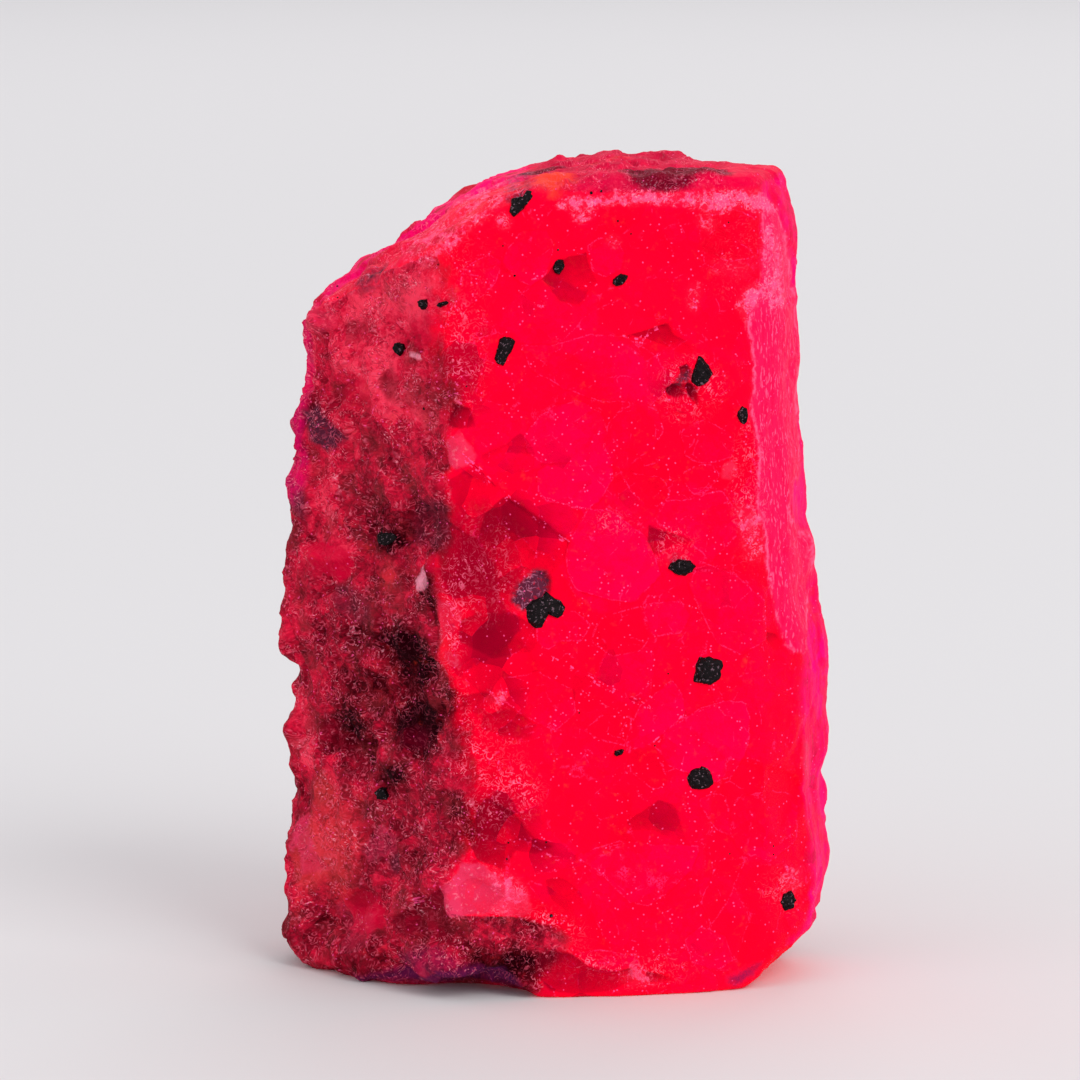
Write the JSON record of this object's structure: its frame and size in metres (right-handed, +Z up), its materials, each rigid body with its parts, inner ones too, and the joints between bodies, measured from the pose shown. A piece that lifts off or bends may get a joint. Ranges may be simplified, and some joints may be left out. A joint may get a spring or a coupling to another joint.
{
  "type": "raw ruby crystal",
  "caption": "Rough, stubby six-sided ruby prism broken off flat at its foot, with one sloped corner at its head and dark mineral grains in its faces.",
  "frame": {"origin": "centre of the bounding box at the height of the flat resting face", "axes": "+Z up along the prism, from the broken foot to the head; -Y towards the broad red prism face (the front); +X towards the viewer's right when that face is looked at"},
  "size_m": [0.0348, 0.024, 0.0503],
  "materials": {
    "ruby": "rough broken crystal: vivid glowing red with fine paler joints between parting plates, dusky brown-red on the broken left side, magenta along the right and upper left edges",
    "dark_grain": "black mineral grains, semi-gloss, coarsely granular"
  },
  "bodies": {
    "root": {"ruby_crystal": "ruby"}
  },
  "joints": []
}
